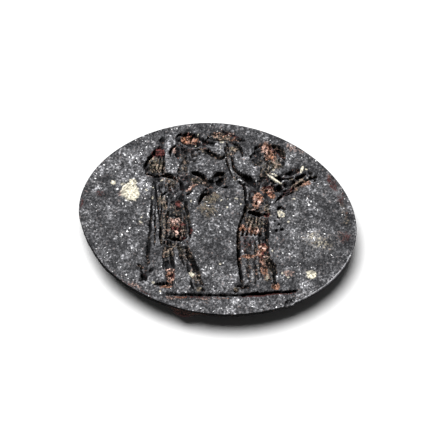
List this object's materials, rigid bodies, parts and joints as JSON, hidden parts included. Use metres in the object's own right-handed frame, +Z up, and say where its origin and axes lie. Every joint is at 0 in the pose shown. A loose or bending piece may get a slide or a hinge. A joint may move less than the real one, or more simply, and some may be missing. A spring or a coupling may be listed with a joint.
{
  "type": "engraved gem",
  "caption": "Oval intaglio ring stone of dark hard stone: flat face with two standing figures cut into it, sides leaning in to a smaller flat back.",
  "frame": {"origin": "middle of the stone's underside, on the plane it lies on", "axes": "+Z up out of the engraved face, +X along the long side of the oval to the right of the upright picture, +Y towards the picture's top"},
  "size_m": [0.0162, 0.0128, 0.0026],
  "materials": {
    "dark_stone": "satin"
  },
  "bodies": {
    "root": {"engraved_gem": "dark_stone"}
  },
  "joints": []
}
